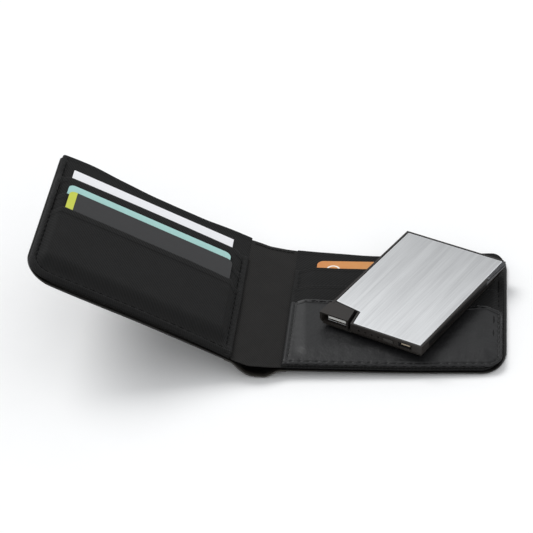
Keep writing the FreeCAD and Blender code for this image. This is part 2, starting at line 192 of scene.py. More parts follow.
def spaced(low, high, step, *fine):
    """Stations from low to high, closer together inside the fine spans (from, to, step)."""
    inner = [cut for span in fine for cut in span[:2] if low < cut < high]
    cuts = sorted({low, high, *inner})
    stations = [low]
    for start, end in zip(cuts[:-1], cuts[1:]):
        middle = (start + end) / 2
        local = min([step] + [span[2] for span in fine if span[0] <= middle <= span[1]])
        count = max(1, math.ceil((end - start) / local - 1e-6))
        stations += [start + (end - start) * index / count for index in range(1, count + 1)]
    return np.array(stations)


# Places and outlines


class Place:
    """A panel's own frame, in millimetres: u from its fold, v from the near edge, w up."""

    def __init__(self, origin, across, up):
        self.origin = np.array(origin, float)
        self.axes = np.array([across, (0, 1, 0), up], float)
        self.mirrored = np.linalg.det(self.axes) < 0

    def world(self, points):
        return self.origin + np.asarray(points, float) @ self.axes * MM

    def local(self, points):
        return (np.asarray(points, float) - self.origin) @ self.axes.T / MM


def up_of(node):
    """The direction that a CAD panel's upper face looks in."""
    total = Vector()
    for polygon in nodes[node].data.polygons:
        if polygon.normal.z > 0.8:
            total += polygon.normal * polygon.area
    return total.normalized()


def make_places():
    """The three panels' frames, from the CAD folds and faces."""
    right_fold = joints["spine_fold"]["pos_m"]
    left_fold = joints["left_fold"]["pos_m"]
    back = Vector((0, 1, 0))
    places = {}
    for name, fold, node, side in (
        ("right", right_fold, "inner_panel_right", 1),
        ("spine", right_fold, "spine_lining", -1),
        ("left", left_fold, "inner_panel_left", -1),
    ):
        up = up_of(node)
        places[name] = Place(fold, back.cross(up) * side, up)
    return places


class Outline:
    """A layer's edge: smooth near and far lines, and corners rounded as quarter ellipses."""

    def __init__(self, high, near, far, near_corner, far_corner=(0.8, 0.8), low=0.4):
        self.low = low
        self.high = high
        self.near_line = smooth_line(near)
        self.far_line = smooth_line(far)
        self.near_corner = near_corner
        self.far_corner = far_corner

    def corner(self, u, size):
        reach = np.clip((u - self.high + size[0]) / size[0], 0, 1)
        return size[1] * (1 - np.sqrt(1 - reach**2))

    def near(self, u):
        return self.near_line(u) + self.corner(u, self.near_corner)

    def far(self, u):
        return self.far_line(u) - self.corner(u, self.far_corner)

    def columns(self, step, *fine):
        start = self.high - self.near_corner[0]
        turn = np.linspace(0, math.pi / 2, 25)[1:]
        rounding = self.high - self.near_corner[0] * (1 - np.sin(turn))
        straight = spaced(self.low, start, step, *fine)
        return np.concatenate([straight, rounding])

    def grid(self, columns, rows):
        """u and v of a grid whose first and last rows follow the near and far edges."""
        share = (rows - rows[0]) / (rows[-1] - rows[0])
        u = np.repeat(columns[:, None], len(rows), axis=1)
        near = self.near(columns)[:, None]
        far = self.far(columns)[:, None]
        return u, near + (far - near) * share[None, :]

    def border(self):
        """Points along the near edge, round the corner and up the outer edge."""
        u = self.columns(0.5)
        near = np.stack([u, self.near(u)], axis=1)
        side = np.arange(near[-1, 1], self.far(np.array([self.high]))[0], 0.5)[1:]
        outer = np.stack([np.full(len(side), self.high), side], axis=1)
        return np.concatenate([near, outer])

    def flat_size(self):
        """Width, length and area of the cut, in metres and square metres."""
        u = np.linspace(self.low, self.high, 400)
        near, far = self.near(u), self.far(u)
        width = self.high - self.low
        length = far.max() - near.min()
        area = float(np.mean(far - near)) * width
        return (width * MM, length * MM), area * MM * MM


class Path:
    """A line on a panel, resampled evenly, with the direction to its left."""

    def __init__(self, points, step):
        points = np.asarray(points, float)
        lengths = np.linalg.norm(np.diff(points, axis=0), axis=1)
        reach = np.concatenate([[0], np.cumsum(lengths)])
        self.length = reach[-1]
        self.at = np.linspace(0, self.length, max(2, round(self.length / step) + 1))
        self.points = np.stack([np.interp(self.at, reach, points[:, axis]) for axis in (0, 1)], axis=1)
        along = np.gradient(self.points, axis=0)
        along /= np.linalg.norm(along, axis=1)[:, None]
        self.left = np.stack([-along[:, 1], along[:, 0]], axis=1)

    def inset(self, distance):
        return self.points + self.left * distance

    def spread(self, across):
        """The same insets at every station, and how far along each of them lies."""
        insets = np.repeat(across[None], len(self.at), axis=0)
        return insets, np.repeat(self.at[:, None], len(across), axis=1)

    def measure(self, u, v):
        """Distance to the line, and how far along it, for every grid point."""
        shape = np.shape(u)
        query = np.stack([np.ravel(u), np.ravel(v)], axis=1)
        distance = np.empty(len(query))
        along = np.empty(len(query))
        for start in range(0, len(query), 4000):
            part = query[start : start + 4000]
            gaps = np.linalg.norm(part[:, None] - self.points[None], axis=2)
            nearest = gaps.argmin(axis=1)
            distance[start : start + 4000] = gaps.min(axis=1)
            along[start : start + 4000] = self.at[nearest]
        return distance.reshape(shape), along.reshape(shape)


# Meshes


def finish_piece(piece, body, replaced):
    """Puts a piece on its CAD body and hides the CAD nodes that it stands for."""
    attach(piece, body)
    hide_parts(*replaced)
    return piece


def add_object(name, data):
    """A new object in the scene."""
    made = bpy.data.objects.new(name, data)
    bpy.context.scene.collection.objects.link(made)
    return made


def add_mesh(name, place, points, faces, uv, material, shade, sharp=()):
    """A smooth shaded object from points in a place, with its flat layout in millimetres."""
    if place.mirrored:
        faces = [face[::-1] for face in faces]
    mesh = bpy.data.meshes.new(name)
    mesh.from_pydata(place.world(points).tolist(), [], faces)
    mesh.shade_smooth()
    layer = mesh.uv_layers.new(name="Layout")
    corners = np.empty(len(mesh.loops), int)
    mesh.loops.foreach_get("vertex_index", corners)
    layer.data.foreach_set("uv", uv[corners].astype(np.float32).ravel())
    if len(sharp):
        edges = np.empty(len(mesh.edges) * 2, int)
        mesh.edges.foreach_get("vertices", edges)
        both = np.isin(edges.reshape(-1, 2), sharp).all(axis=1)
        mark = mesh.attributes.new("sharp_edge", "BOOLEAN", "EDGE")
        mark.data.foreach_set("value", both)
    # Painted shade for each point: 1 keeps the colour, lower values darken it along seams, hems, rims and
    # hollows where shadow would fall.
    mesh.attributes.new("PaintedShade", "FLOAT", "POINT").data.foreach_set("value", shade.astype(np.float32))
    mesh.materials.append(material)
    return add_object(name, mesh)


def quads(index):
    """Faces of a grid of point numbers."""
    around = [index[:-1, :-1], index[1:, :-1], index[1:, 1:], index[:-1, 1:]]
    return np.stack([side.ravel() for side in around], axis=1)


def rim_loop(index):
    """Point numbers once round the border of a grid."""
    return np.concatenate([index[:, 0], index[-1, 1:], index[-2::-1, -1], index[0, -2:0:-1]])


def outward_from(middle, half):
    """Unit directions pointing out of a closed rim, from its middle line and half thickness."""
    along = np.roll(middle, -1, axis=0) - np.roll(middle, 1, axis=0)
    outward = np.cross(along, half)
    return outward / np.maximum(np.linalg.norm(outward, axis=1), 1e-9)[:, None]


def ring_faces(rings):
    """Faces that join each closed ring of point numbers to the next."""
    faces = []
    for upper, lower in zip(rings[:-1], rings[1:]):
        faces.append(np.stack([upper, lower, np.roll(lower, -1), np.roll(upper, -1)], axis=1))
    return faces


def closed_sheet(name, place, top, bottom, uv, material, shades, cut_end=False):
    """A closed mesh between two grids of points. Its rim is round, except at a cut end."""
    columns, rows = top.shape[:2]
    index = np.arange(columns * rows).reshape(columns, rows)
    below = index + columns * rows
    loop = rim_loop(index)
    flat_top = top.reshape(-1, 3)
    flat_bottom = bottom.reshape(-1, 3)
    flat_uv = uv.reshape(-1, 2)
    rim_shade = np.maximum(shades[0].ravel(), shades[1].ravel())[loop]
    half = (flat_top[loop] - flat_bottom[loop]) / 2
    middle = (flat_top[loop] + flat_bottom[loop]) / 2
    outward = outward_from(middle, half)
    bulge = np.linalg.norm(half, axis=1)[:, None]
    sharp = []
    if cut_end:
        at_cut = np.isin(loop, index[-1])
        bulge = np.where(at_cut[:, None], 0, bulge)
        sharp = np.concatenate([index[-1], below[-1]])
    points = [flat_top, flat_bottom]
    layout = [flat_uv, flat_uv]
    all_shades = [shades[0].ravel(), shades[1].ravel()]
    rings = [loop]
    count = 2 * columns * rows
    for turn in (math.pi / 4, math.pi / 2, 3 * math.pi / 4):
        points.append(middle + half * math.cos(turn) + outward * bulge * math.sin(turn))
        layout.append(flat_uv[loop] + (0, 0.4 * turn))
        all_shades.append(rim_shade)
        rings.append(np.arange(len(loop)) + count)
        count += len(loop)
    rings.append(loop + columns * rows)
    faces = [quads(index), quads(below)[:, ::-1], *ring_faces(rings)]
    all_faces = np.concatenate(faces).tolist()
    flat_layout = np.concatenate(layout)
    all_points = np.concatenate(points)
    shade = np.concatenate(all_shades)
    return add_mesh(name, place, all_points, all_faces, flat_layout, material, shade, sharp)


def layered(name, place, grid, top, thickness, material, shade=1.0):
    """A flat layer: a grid of u and v with its top height and its thickness."""
    u, v = grid
    top = np.broadcast_to(top, u.shape)
    upper = np.stack([u, v, top], axis=2)
    lower = np.stack([u, v, top - thickness], axis=2)
    shade = np.broadcast_to(shade, u.shape)
    return closed_sheet(name, place, upper, lower, np.stack([u, v], axis=2), material, (shade, shade))


def strip(name, place, path, insets, heights, material, shade):
    """A closed strip along a path: at each station a ring of insets and heights."""
    stations, around = heights.shape
    where = path.points[:, None] + path.left[:, None] * insets[:, :, None]
    points = np.concatenate([where, heights[:, :, None]], axis=2)
    steps = np.diff(np.stack([insets, heights], axis=2), axis=1, append=0)
    girth = np.cumsum(np.linalg.norm(steps, axis=2), axis=1)
    uv = np.stack([np.repeat(path.at[:, None], around, axis=1), girth], axis=2).reshape(-1, 2)
    index = np.arange(stations * around).reshape(stations, around)
    index = np.concatenate([index, index[:, :1]], axis=1)
    faces = quads(index).tolist()
    flat = points.reshape(-1, 3)
    ends = [points[0].mean(axis=0), points[-1].mean(axis=0)]
    start, end = len(flat), len(flat) + 1
    for one, other in zip(index[0, :-1], index[0, 1:]):
        faces.append([start, int(one), int(other)])
    for one, other in zip(index[-1, :-1], index[-1, 1:]):
        faces.append([end, int(other), int(one)])
    uv = np.concatenate([uv, uv[:1], uv[-1:]])
    shade = np.concatenate([shade.ravel(), shade[0, :1], shade[-1, :1]])
    return add_mesh(name, place, np.concatenate([flat, ends]), faces, uv, material, shade)


def thread_run(holes, surface, points, faces, uv):
    """Adds one rounded length of thread between each pair of neighbouring needle holes."""
    share = np.linspace(0.04, 0.96, 8)
    arch = np.sin(np.pi * share) ** 0.7
    turn = np.linspace(0, 2 * math.pi, 8, endpoint=False)
    for start, end in zip(holes[:-1], holes[1:]):
        along = (end - start) / np.linalg.norm(end - start)
        side = np.array([-along[1], along[0]])
        line = start + (end - start) * share[:, None]
        height = surface(line[:, 0], line[:, 1]).min() - THREAD_SINK + THREAD_ARCH * arch
        radius = THREAD_RADIUS * (0.35 + 0.65 * arch)
        offset = radius[:, None] * np.cos(turn)
        ring = line[:, None] + side * offset[:, :, None]
        up = height[:, None] + radius[:, None] * np.sin(turn) * 0.8
        first = sum(len(part) for part in points)
        points.append(np.concatenate([ring, up[:, :, None]], axis=2).reshape(-1, 3))
        around = np.repeat(turn[None] * THREAD_RADIUS, len(share), axis=0)
        run = np.repeat(share[:, None] * STITCH_PITCH, len(turn), axis=1)
        uv.append(np.stack([run, around], axis=2).reshape(-1, 2))
        index = np.arange(len(share) * len(turn)).reshape(len(share), len(turn)) + first
        index = np.concatenate([index, index[:, :1]], axis=1)
        faces.extend(quads(index)[:, ::-1].tolist())
        faces.append(index[0, :-1].tolist())
        faces.append(index[-1, -2::-1].tolist())


def stitching(name, place, seams, material):
    """Thread along several seams, each a row of needle holes on a surface."""
    points, faces, uv = [], [], []
    for holes, surface in seams:
        thread_run(holes, surface, points, faces, uv)
    all_points = np.concatenate(points)
    shade = np.ones(len(all_points))
    return add_mesh(name, place, all_points, faces, np.concatenate(uv), material, shade)


def holes_along(path, inset, start, end):
    """Needle holes one pitch apart along a path, between two distances along it."""
    at = np.arange(start, end, STITCH_PITCH)
    line = path.inset(inset)
    return np.stack([np.interp(at, path.at, line[:, axis]) for axis in (0, 1)], axis=1)


def beside_hole(along):
    """Distance along a seam from the nearest needle hole."""
    return (along + STITCH_PITCH / 2) % STITCH_PITCH - STITCH_PITCH / 2


def pucker(distance, along, inset, depth=0.3):
    """How a seam pulls the surface down: a valley, deepest at each needle hole."""
    hole = hump(distance, inset, 0.55) * hump(beside_hole(along), 0, 0.6)
    groove = hump(distance, inset, 0.6)
    swell = hump(distance, inset - 1.2, 0.8) + 0.7 * hump(distance, inset + 1.2, 0.8)
    between = 0.5 - 0.5 * np.cos(2 * math.pi * along / STITCH_PITCH)
    return -depth * (hole + 0.35 * groove) + 0.05 * swell * between


def seam_shade(distance, along, inset, depth=0.97):
    """Painted shade along a seam: how dark the surface is made, 1 away from it, least at the needle holes.
    """
    line = hump(distance, inset, 0.62)
    return 1 - depth * line * (0.6 + 0.4 * hump(beside_hole(along), 0, 0.9))


# Materials


def srgb(red, green, blue):
    """A colour given as 0 to 255 sRGB values, made linear."""
    linear = []
    for value in (red, green, blue):
        part = value / 255
        linear.append(part / 12.92 if part < 0.04045 else ((part + 0.055) / 1.055) ** 2.4)
    return (*linear, 1.0)


class Paint:
    """A material and short calls that add its nodes."""

    def __init__(self, name, **sockets):
        self.material = bpy.data.materials.new(name)
        self.material.use_nodes = True
        self.tree = self.material.node_tree
        self.shader = self.tree.nodes["Principled BSDF"]
        for socket, value in sockets.items():
            self.set(socket.replace("_", " ").title().replace("Ior", "IOR"), value)

    def set(self, socket, value):
        self.join(self.shader.inputs[socket], value)

    def join(self, socket, value):
        if isinstance(value, bpy.types.NodeSocket):
            self.tree.links.new(value, socket)
        else:
            socket.default_value = value

    def node(self, kind, inputs=(), **settings):
        made = self.tree.nodes.new("ShaderNode" + kind)
        for setting, value in settings.items():
            setattr(made, setting, value)
        for socket, value in dict(inputs).items():
            self.join(made.inputs[socket], value)
        return made

    def layout(self):
        return self.node("UVMap", uv_map="Layout").outputs[0]

    def object_mm(self, turn=0.0):
        place = self.node("TexCoord").outputs["Object"]
        inputs = {"Vector": place, "Scale": (1 / MM,) * 3, "Rotation": (0, 0, turn)}
        return self.node("Mapping", inputs).outputs[0]

    def scaled(self, vector, scale, location=(0, 0, 0)):
        inputs = {"Vector": vector, "Scale": scale, "Location": location}
        return self.node("Mapping", inputs).outputs[0]

    def noise(self, vector, scale, detail=3.0, roughness=0.55):
        inputs = {"Vector": vector, "Scale": scale, "Detail": detail, "Roughness": roughness}
        return self.node("TexNoise", inputs).outputs[0]

    def cells(self, vector, scale):
        inputs = {"Vector": vector, "Scale": scale}
        return self.node("TexVoronoi", inputs, feature="SMOOTH_F1").outputs["Distance"]

    def bands(self, vector, pitch, direction="X", distortion=0.3):
        inputs = {"Vector": vector, "Scale": 2 * math.pi / (10 * pitch), "Distortion": distortion}
        inputs["Detail Scale"] = 3.0
        wave = self.node("TexWave", inputs, bands_direction=direction)
        return wave.outputs[1]

    def maths(self, operation, first, second):
        return self.node("Math", {0: first, 1: second}, operation=operation).outputs[0]

    def mixed(self, first, second, share):
        """A share of the first value with the rest of the second."""
        part = self.maths("MULTIPLY", first, share)
        return self.maths("ADD", part, self.maths("MULTIPLY", second, 1 - share))

    def between(self, value, low, high, start=0.0, end=1.0):
        inputs = {"Value": value, "From Min": start, "From Max": end, "To Min": low, "To Max": high}
        return self.node("MapRange", inputs).outputs[0]

    def blend(self, share, one, other):
        mix = self.node("Mix", data_type="RGBA")
        for socket, value in ((0, share), (6, one), (7, other)):
            self.join(mix.inputs[socket], value)
        return mix.outputs[2]

    def with_painted_shade(self, colour):
        """The colour, darkened towards near black by the painted shade that the mesh carries for each
        point.
        """
        shade = self.node("Attribute", attribute_name="PaintedShade").outputs["Fac"]
        return self.blend(shade, (0.0004, 0.0004, 0.0004, 1), colour)

    def tones(self, share, colour, spread):
        """The colour made darker and lighter by a share of itself."""
        dark = (*[part * (1 - spread) for part in colour[:3]], 1)
        light = (*[min(1, part * (1 + spread)) for part in colour[:3]], 1)
        return self.blend(share, dark, light)

    def bump(self, height, depth, normal=None):
        """Relief of a depth in millimetres."""
        inputs = {"Height": height, "Distance": depth * MM, "Strength": 1.0}
        if normal is not None:
            inputs["Normal"] = normal
        return self.node("Bump", inputs).outputs[0]


def cloth(name, colour, pitch=0.95):
    """Twill: slanting ribs crossed by fine threads, with uneven wear."""
    paint = Paint(name, specular_ior_level=0.16, sheen_weight=0.04, sheen_roughness=0.5)
    layout = paint.layout()
    ribs = paint.bands(paint.scaled(layout, (1, -0.8, 1)), pitch * math.sqrt(2), "DIAGONAL", 1.2)
    threads = paint.bands(layout, pitch / 2, "X", 0.4)
    fuzz = paint.noise(layout, 3.2)
    wear = paint.noise(layout, 0.09, 2.0)
    weave = paint.maths("MULTIPLY", ribs, paint.between(threads, 0.55, 1.0))
    shade = paint.mixed(weave, fuzz, 0.6)
    worn = paint.tones(shade, colour, 0.75)
    lighter = tuple(min(1, part * 1.4) for part in colour[:3]) + (1,)
    colour = paint.blend(paint.between(wear, 0, 0.5, 0.35, 0.8), worn, lighter)
    paint.set("Base Color", paint.with_painted_shade(colour))
    paint.set("Roughness", paint.between(fuzz, 0.74, 0.92))
    paint.set("Normal", paint.bump(weave, 0.1, paint.bump(fuzz, 0.06)))
    return paint.material


def hide(name, colour, roughness=(0.36, 0.52), grain=0.05):
    """Grained leather: fine cells, soft creases and polished high spots."""
    paint = Paint(name, specular_ior_level=0.32)
    layout = paint.layout()
    pores = paint.cells(layout, 1.35)
    fine = paint.noise(layout, 3.5, 4.0)
    creases = paint.noise(layout, 0.16, 3.0)
    shade = paint.mixed(pores, creases, 0.5)
    paint.set("Base Color", paint.with_painted_shade(paint.tones(shade, colour, 0.5)))
    low, high = roughness
    paint.set("Roughness", paint.between(paint.maths("ADD", pores, fine), low, high, 0.4, 1.2))
    relief = paint.bump(creases, 0.25)
    relief = paint.bump(fine, grain * 0.6, relief)
    paint.set("Normal", paint.bump(pores, grain, relief))
    return paint.material


def yarn(name, colour):
    """Twisted thread."""
    paint = Paint(name, roughness=0.8, specular_ior_level=0.06)
    twist = paint.bands(paint.layout(), 0.55, "DIAGONAL", 0.2)
    paint.set("Base Color", paint.tones(twist, colour, 0.4))
    paint.set("Normal", paint.bump(twist, 0.08))
    return paint.material


def moulded(name, colour, roughness=0.5, grain=0.012, scale=6.0, **sockets):
    """Moulded plastic with a fine spark-eroded texture and faint handling marks."""
    paint = Paint(name, **sockets)
    place = paint.object_mm()
    fine = paint.noise(place, scale)
    marks = paint.noise(place, 0.12, 4.0)
    paint.set("Base Color", paint.tones(marks, colour, 0.12))
    paint.set("Roughness", paint.between(marks, roughness - 0.08, roughness + 0.1, 0.3, 0.7))
    paint.set("Normal", paint.bump(fine, grain))
    return paint.material


def metal(name, colour, roughness=0.25, turn=0.0, stretch=(1.0, 1.0, 1.0), streak=0.1):
    """Metal with fine marks, drawn out along one direction when it is brushed."""
    paint = Paint(name, metallic=1.0)
    place = paint.scaled(paint.object_mm(turn), stretch)
    lines = paint.noise(place, 1.0, 5.0, 0.7)
    paint.set("Base Color", paint.tones(lines, colour, streak))
    paint.set("Roughness", paint.between(lines, roughness - 0.06, roughness + 0.12, 0.3, 0.7))
    paint.set("Normal", paint.bump(lines, 0.004))
    return paint.material


def brushed_metal(name, colour, axis, low, high):
    """A brushed sheet: streaks along its axis, and a painted reflection that darkens it from low to high.
    """
    turn = math.atan2(axis[0], axis[1])
    paint = Paint(name, metallic=1.0)
    place = paint.object_mm(turn)
    fine = paint.noise(paint.scaled(place, (2.4, 0.02, 1.0)), 1.0, 5.0, 0.7)
    broad = paint.noise(paint.scaled(place, (0.35, 0.008, 1.0)), 1.0, 3.0, 0.6)
    along = paint.node("SeparateXYZ", {0: place}).outputs[1]
    # Painted reflection: the colour fades to 0.72 from low to high along the axis, standing in for a
    # reflection that grows dimmer.
    painted_reflection_fade = paint.between(along, 1.0, 0.72, low, high)
    streaks = paint.mixed(fine, broad, 0.6)
    tone = paint.maths("MULTIPLY", paint.between(streaks, 0.84, 1.12, 0.3, 0.7), painted_reflection_fade)
    paint.set("Base Color", paint.blend(tone, (0, 0, 0, 1), colour))
    paint.set("Roughness", paint.between(streaks, 0.3, 0.42, 0.3, 0.7))
    paint.set("Normal", paint.bump(fine, 0.006))
    return paint.material


def printed(name, colour, roughness=0.35, spread=0.05, coat=0.12):
    """A printed plastic or paper card, with faint mottling under a thin clear coat."""
    paint = Paint(name, specular_ior_level=0.35, coat_weight=coat, coat_roughness=0.2)
    place = paint.object_mm()
    mottle = paint.noise(place, 0.25, 4.0)
    fine = paint.noise(place, 5.0)
    paint.set("Base Color", paint.tones(mottle, colour, spread))
    paint.set("Roughness", paint.between(mottle, roughness - 0.06, roughness + 0.1))
    paint.set("Normal", paint.bump(fine, 0.006))
    return paint.material


def ringed_card(places):
    """The orange card: lighter towards its outer side, with part of a white ring showing."""
    ring_centre = (18.7, 81.3, 0)
    ring_radius = 2.9
    ring_half_width = 0.3
    paint = Paint("orange_print", coat_weight=0.15, coat_roughness=0.2)
    place = paint.object_mm()
    corner = places["right"].origin / MM
    from_ring = [-(corner[axis] + ring_centre[axis]) for axis in range(3)]
    flat = paint.scaled(place, (1, 1, 0), (from_ring[0], from_ring[1], 0))
    distance = paint.node("VectorMath", {0: flat}, operation="LENGTH").outputs["Value"]
    off_line = paint.maths("ABSOLUTE", paint.maths("SUBTRACT", distance, ring_radius), 0)
    ring = paint.between(off_line, 1.0, 0.0, ring_half_width, ring_half_width + 0.25)
    across = paint.node("SeparateXYZ", {0: flat}).outputs[0]
    along = paint.between(across, 0.0, 1.0, -8.0, 75.0)
    mottle = paint.noise(place, 0.3)
    ground = paint.blend(along, srgb(196, 116, 48), srgb(218, 158, 76))
    soft = paint.maths("MULTIPLY", mottle, 0.25)
    ground = paint.blend(soft, ground, srgb(235, 190, 120))
    paint.set("Base Color", paint.blend(ring, ground, srgb(244, 240, 232)))
    paint.set("Roughness", paint.between(mottle, 0.28, 0.42))
    paint.set("Normal", paint.bump(paint.noise(place, 5.0), 0.006))
    return paint.material


def make_materials(places):
    """Every material by name."""
    axis = joints["bank_slide"]["axis"]
    turn = math.atan2(axis[0], axis[1])
    plate = [Vector(vertex.co).dot(Vector(axis)) / MM for vertex in nodes["bank_top_plate"].data.vertices]
    return {
        "pocket_cloth": cloth("pocket_cloth", srgb(18, 18, 18), pitch=1.25),
        "spine_cloth": cloth("spine_cloth", srgb(29, 28, 27)),
        "bill_cloth": cloth("bill_cloth", srgb(26, 25, 24), pitch=0.6),
        "welt_cloth": cloth("welt_cloth", srgb(23, 23, 23), pitch=0.8),
        "cover_leather": hide("cover_leather", srgb(27, 26, 24), (0.3, 0.44), 0.03),
        # The gusset's leather is the cover leather painted lighter: painted light on a loop whose rim
        # faces away from the lamps.
        "gusset_leather_painted_lighter": hide("gusset_leather_painted_lighter", srgb(52, 50, 46), (0.3, 0.44), 0.03),
        "pocket_leather": hide("pocket_leather", srgb(24, 24, 25), (0.32, 0.46), 0.03),
        "thread": yarn("thread", srgb(9, 9, 9)),
        "white_paper": printed("white_paper", srgb(238, 238, 241), 0.5, 0.03),
        "teal_print": printed("teal_print", srgb(163, 207, 202)),
        "grey_print": printed("grey_print", srgb(46, 46, 47), 0.5, coat=0.0),
        "lime_print": printed("lime_print", srgb(198, 205, 72)),
        "orange_print": ringed_card(places),
        "bank_plastic": moulded("bank_plastic", srgb(42, 39, 37), 0.48, specular_ior_level=0.25),
        # The button is the body's plastic painted lighter, a painted highlight; its lower roughness gives
        # it more gloss.
        "button_plastic_painted_lighter": moulded("button_plastic_painted_lighter", srgb(58, 56, 54), 0.3),
        "brushed_plate": brushed_metal("brushed_plate", srgb(238, 239, 240), axis, min(plate), max(plate)),
        "plate_edge": moulded("plate_edge", srgb(226, 228, 230), 0.4),
        "bright_steel": metal("bright_steel", srgb(205, 205, 207), 0.22),
        "gold_contacts": metal("gold_contacts", srgb(222, 178, 92), 0.25),
        "white_plastic": moulded("white_plastic", srgb(232, 232, 228), 0.4),
        # The light pipes' own colour is dark smoke; it is taken to near black with almost no gloss as
        # painted shade, so the holes read dark.
        "light_pipe": moulded("light_pipe", srgb(3, 3, 3), 0.6, specular_ior_level=0.05),
        "cable_plastic": moulded("cable_plastic", srgb(14, 14, 15), 0.6, specular_ior_level=0.2),
        "grip_plastic": moulded("grip_plastic", srgb(70, 70, 72), 0.5),
        "cell_foil": metal("cell_foil", srgb(176, 180, 186), 0.35, turn, (0.3, 0.3, 1.0), 0.08),
        "tape": moulded("tape", srgb(196, 172, 88), 0.5, 0.02, 2.0),
        "board_green": moulded("board_green", srgb(24, 84, 54), 0.4, 0.03, 1.2),
        "chip_black": moulded("chip_black", srgb(30, 30, 31), 0.6),
        "port_tongue": moulded("port_tongue", srgb(186, 172, 150), 0.5),
    }


# Camera, light and floor


def make_camera():
    """Looks down at the wallet from the near side, a little from the right, slightly rolled."""
    elevation = math.radians(33.38)
    azimuth = math.radians(-7.935)
    roll = math.radians(-4.69)
    aim = Vector((-0.008656, 0.032587, 0.006))
    distance = 1.0629
    level = math.cos(elevation)
    forward = Vector((math.sin(azimuth) * level, math.cos(azimuth) * level, -math.sin(elevation)))
    right = Vector((math.cos(azimuth), -math.sin(azimuth), 0))
    up = right.cross(forward)
    turned_right = right * math.cos(roll) + up * math.sin(roll)
    turned_up = up * math.cos(roll) - right * math.sin(roll)
    data = bpy.data.cameras.new("camera")
    data.lens = 145.78
    camera = add_object("camera", data)
    matrix = Matrix((turned_right, turned_up, -forward)).transposed().to_4x4()
    matrix.translation = aim - forward * distance
    camera.matrix_world = matrix
    bpy.context.scene.camera = camera


def soft_light(name, towards, strength, spread):
    """A far soft light shining in a direction, with the given spread in degrees."""
    data = bpy.data.lights.new(name, "SUN")
    data.energy = strength
    data.angle = math.radians(spread)
    light = add_object(name, data)
    light.rotation_mode = "QUATERNION"
    light.rotation_quaternion = Vector(towards).to_track_quat("-Z", "Y")


def make_lights():
    """An even pale sky, a soft key from the far left and a softer fill."""
    world = bpy.data.worlds.new("studio")
    world.use_nodes = True
    background = world.node_tree.nodes["Background"]
    background.inputs["Color"].default_value = (0.97, 0.985, 1.0, 1)
    background.inputs["Strength"].default_value = 0.68
    bpy.context.scene.world = world
    soft_light("key", (0.5, -0.45, -0.9), 1.45, 32)
    soft_light("fill", (-0.3, 0.9, -0.4), 0.6, 60)
    bpy.context.scene.view_settings.view_transform = "Standard"


def make_floor():
    """A pale floor, just below the wallet and wide enough to fill the view."""
    paint = Paint("floor_paint", roughness=0.9)
    grain = paint.noise(paint.object_mm(), 0.05, 2.0)
    paint.set("Base Color", paint.tones(grain, srgb(246, 246, 246), 0.01))
    half = 6.0
    level = -0.0002
    mesh = bpy.data.meshes.new("floor")
    corners = [(-half, -half, level), (half, -half, level), (half, half, level), (-half, half, level)]
    mesh.from_pydata(corners, [], [(0, 1, 2, 3)])
    mesh.materials.append(paint.material)
    add_object("floor", mesh)


# Shape of the two halves


def inner_outline(side):
    if side == "right":
        return Outline(102.2, NEAR[side], FAR[side], (11, 17), (6.2, 11.5))
    return Outline(102.6, NEAR[side], FAR[side], (11, 11), (1.6, 1.2))


def cover_outline(side):
    if side == "right":
        return Outline(102.9, COVER_NEAR[side], FAR[side], (11, 17), (6.2, 11.5))
    return Outline(102.9, COVER_NEAR[side], FAR[side], (14, 16), (2.0, 1.6))


def leather_outline():
    """The leather pocket's front, set in from the band of cloth under it."""
    return Outline(101.0, moved(NEAR["right"], 1.4), LEATHER_MOUTH, (7, 8), low=0.5)


def card_lift(side, u, v):
    """How far the card pockets are lifted: 0 at their seams and 1 over the cards."""
    if side == "left":
        return rise(u, 3.9, 8.6) * rise(-u, -100.0, -95.4) * rise(v, 5.0, 15.5)
    return rise(u, 3.4, 10.4) * rise(-u, -99.8, -96.4) * rise(v, 5.0, 30.0)


def pocket_top(side, number, u, v):
    """Height of a card pocket, from its seams up over the cards."""
    seam = SEAM_TOPS[side][number]
    return seam + (STACK_TOPS[side][number] - seam) * card_lift(side, u, v)


def mouth_hem(side, below):
    """Relief of the hem below a mouth: a folded band, its stitch line and its lower edge."""
    if side == "right":
        band = 0.12 * (1 - rise(below, 2.3, 2.9))
        return band - 0.1 * hump(below, 1.3, 0.3)
    band = 0.14 * (1 - rise(below, 4.2, 4.9))
    return band - 0.05 * hump(below, 6.6, 0.35)


